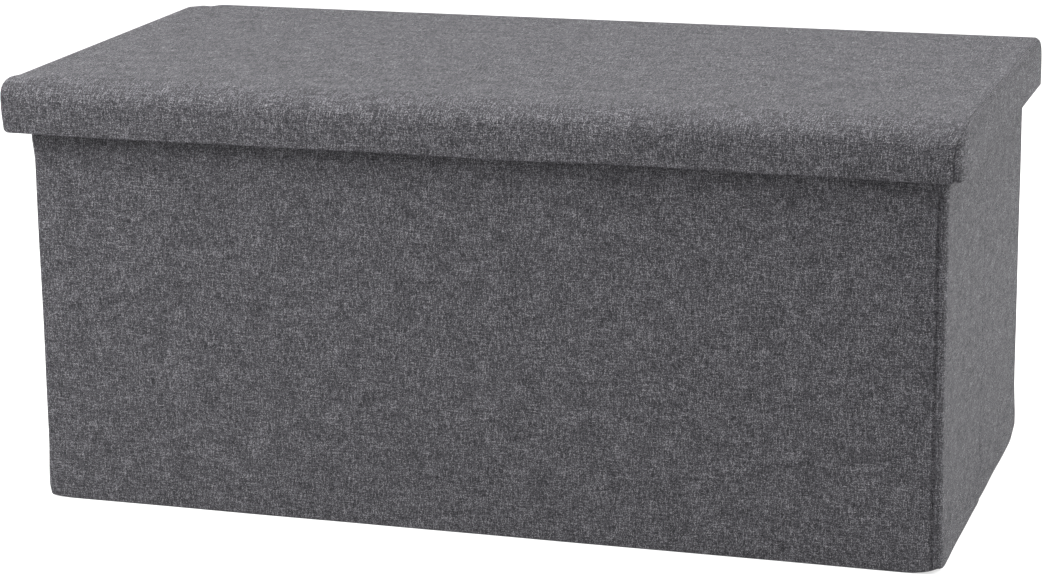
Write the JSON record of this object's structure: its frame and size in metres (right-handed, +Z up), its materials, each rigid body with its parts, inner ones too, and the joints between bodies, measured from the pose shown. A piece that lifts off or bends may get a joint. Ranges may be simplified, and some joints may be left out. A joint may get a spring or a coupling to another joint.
{
  "type": "folding storage bench",
  "caption": "Upholstered folding storage bench: a fabric-covered box whose short sides fold inwards, with a padded lift-off lid that is the seat.",
  "frame": {"origin": "middle of the footprint on the floor", "axes": "+X along the length, +Z up, -Y towards the front"},
  "size_m": [0.793, 0.413, 0.361],
  "materials": {
    "melange_cloth": "dark grey linen-look melange weave, matt",
    "non_woven_lining": "black non-woven lining cloth, matt",
    "hardboard": "raw brown hardboard",
    "foam": "open-cell foam, cream"
  },
  "bodies": {
    "back_and_base": {"back_wall_cover": "melange_cloth", "back_wall_board": "hardboard", "back_wall_lining": "non_woven_lining", "back_wall_bottom_hem": "melange_cloth", "base_cloth": "non_woven_lining", "base_board": "hardboard", "base_board_slip": "non_woven_lining"},
    "left_rear": {"left_rear_half_cover": "melange_cloth", "left_rear_half_board": "hardboard", "left_rear_half_lining": "non_woven_lining", "left_rear_half_bottom_hem": "melange_cloth"},
    "left_front": {"left_front_half_cover": "melange_cloth", "left_front_half_board": "hardboard", "left_front_half_lining": "non_woven_lining", "left_front_half_bottom_hem": "melange_cloth"},
    "front": {"front_wall_cover": "melange_cloth", "front_wall_board": "hardboard", "front_wall_lining": "non_woven_lining", "front_wall_bottom_hem": "melange_cloth"},
    "right_rear": {"right_rear_half_cover": "melange_cloth", "right_rear_half_board": "hardboard", "right_rear_half_lining": "non_woven_lining", "right_rear_half_bottom_hem": "melange_cloth"},
    "right_front": {"right_front_half_cover": "melange_cloth", "right_front_half_board": "hardboard", "right_front_half_lining": "non_woven_lining", "right_front_half_bottom_hem": "melange_cloth"},
    "lid": {"lid_cover": "melange_cloth", "lid_left_end_skirt": "melange_cloth", "lid_right_end_skirt": "melange_cloth", "lid_foam_pad": "foam", "lid_board": "hardboard", "lid_front_rim_board": "hardboard", "lid_back_rim_board": "hardboard", "lid_left_rim_board": "hardboard", "lid_right_rim_board": "hardboard", "lid_lining": "non_woven_lining"}
  },
  "joints": [
    {"name": "lid_lift", "type": "slide", "parent": "back_and_base", "child": "lid", "axis": [0, 0, 1], "range_m": [0, 0.25]},
    {"name": "fold", "type": "hinge", "parent": "back_and_base", "child": "right_rear", "pos_m": [0.3738, 0.1838, 0.17], "axis": [0, 0, 1], "range_deg": [-88, 0], "deforming": ["back_wall_bottom_hem", "front_wall_bottom_hem", "left_rear_half_bottom_hem", "left_front_half_bottom_hem", "right_rear_half_bottom_hem", "right_front_half_bottom_hem"]},
    {"name": "right_crease", "type": "hinge", "parent": "right_rear", "child": "right_front", "pos_m": [0.38, 0, 0.17], "axis": [0, 0, 1], "range_deg": [0, 176]},
    {"name": "right_front_corner", "type": "hinge", "parent": "right_front", "child": "front", "pos_m": [0.3738, -0.1838, 0.17], "axis": [0, 0, 1], "range_deg": [-88, 0]},
    {"name": "left_rear_corner", "type": "hinge", "parent": "back_and_base", "child": "left_rear", "pos_m": [-0.3738, 0.1838, 0.17], "axis": [0, 0, 1], "range_deg": [0, 88]},
    {"name": "left_crease", "type": "hinge", "parent": "left_rear", "child": "left_front", "pos_m": [-0.38, 0, 0.17], "axis": [0, 0, 1], "range_deg": [-176, 0]}
  ],
  "couplings": [
    {"joint": "right_crease", "follows": "fold", "ratio": -2},
    {"joint": "right_front_corner", "follows": "fold", "ratio": 1},
    {"joint": "left_rear_corner", "follows": "fold", "ratio": -1},
    {"joint": "left_crease", "follows": "fold", "ratio": 2}
  ]
}
